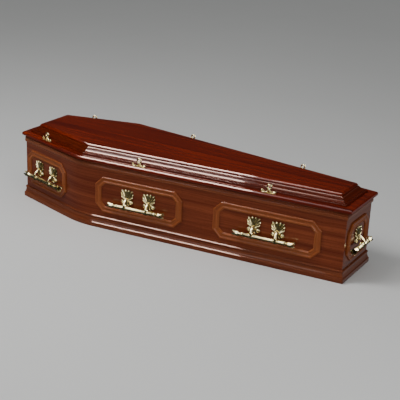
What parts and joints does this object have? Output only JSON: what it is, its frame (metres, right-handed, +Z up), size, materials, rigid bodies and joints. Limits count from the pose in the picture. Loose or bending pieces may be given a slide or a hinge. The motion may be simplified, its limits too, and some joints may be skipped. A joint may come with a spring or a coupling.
{
  "type": "wooden coffin",
  "caption": "Polished single-shouldered wooden coffin with panelled sides, a raised moulded lid, bar handles and wreath holders on the lid.",
  "frame": {"origin": "centre of the underside, on the floor", "axes": "+X from head to foot, +Y towards the left hand of whoever lies in it, +Z up"},
  "size_m": [1.945, 0.633, 0.411],
  "materials": {
    "veneer": "dark red-brown mahogany under high-gloss lacquer",
    "moulding": "dark red-brown moulding under high-gloss lacquer",
    "frame_wood": "lighter orange-brown moulding under satin lacquer",
    "bare_board": "plain unlacquered board",
    "brass": "pale bright electro-brassed metal"
  },
  "bodies": {
    "root": {"side_board_right": "veneer", "side_board_left": "veneer", "head_board": "veneer", "foot_board": "veneer", "base_board": "bare_board", "plinth_right": "moulding", "plinth_left": "moulding", "plinth_head": "moulding", "plinth_foot": "moulding", "neck_moulding_right": "moulding", "neck_moulding_left": "moulding", "neck_moulding_head": "moulding", "neck_moulding_foot": "moulding", "lid_board": "veneer", "lid_moulding_right_long": "moulding", "lid_moulding_right_short": "moulding", "lid_moulding_head": "moulding", "lid_moulding_left_short": "moulding", "lid_moulding_left_long": "moulding", "lid_moulding_foot": "moulding", "lid_panel": "veneer", "panel_frame_right_1": "frame_wood", "panel_frame_right_2": "frame_wood", "panel_frame_right_3": "frame_wood", "panel_frame_left_1": "frame_wood", "panel_frame_left_2": "frame_wood", "panel_frame_left_3": "frame_wood", "panel_frame_head": "frame_wood", "panel_frame_foot": "frame_wood", "handle_plate_right_1a": "brass", "handle_plate_right_1b": "brass", "handle_bar_right_1": "brass", "handle_plate_right_2a": "brass", "handle_plate_right_2b": "brass", "handle_bar_right_2": "brass", "handle_plate_right_3a": "brass", "handle_plate_right_3b": "brass", "handle_bar_right_3": "brass", "handle_plate_left_1a": "brass", "handle_plate_left_1b": "brass", "handle_bar_left_1": "brass", "handle_plate_left_2a": "brass", "handle_plate_left_2b": "brass", "handle_bar_left_2": "brass", "handle_plate_left_3a": "brass", "handle_plate_left_3b": "brass", "handle_bar_left_3": "brass", "handle_plate_head": "brass", "handle_bar_head": "brass", "handle_plate_foot": "brass", "handle_bar_foot": "brass", "wreath_holder_right_1": "brass", "wreath_holder_right_2": "brass", "wreath_holder_right_3": "brass", "wreath_holder_left_1": "brass", "wreath_holder_left_2": "brass", "wreath_holder_left_3": "brass"}
  },
  "joints": []
}
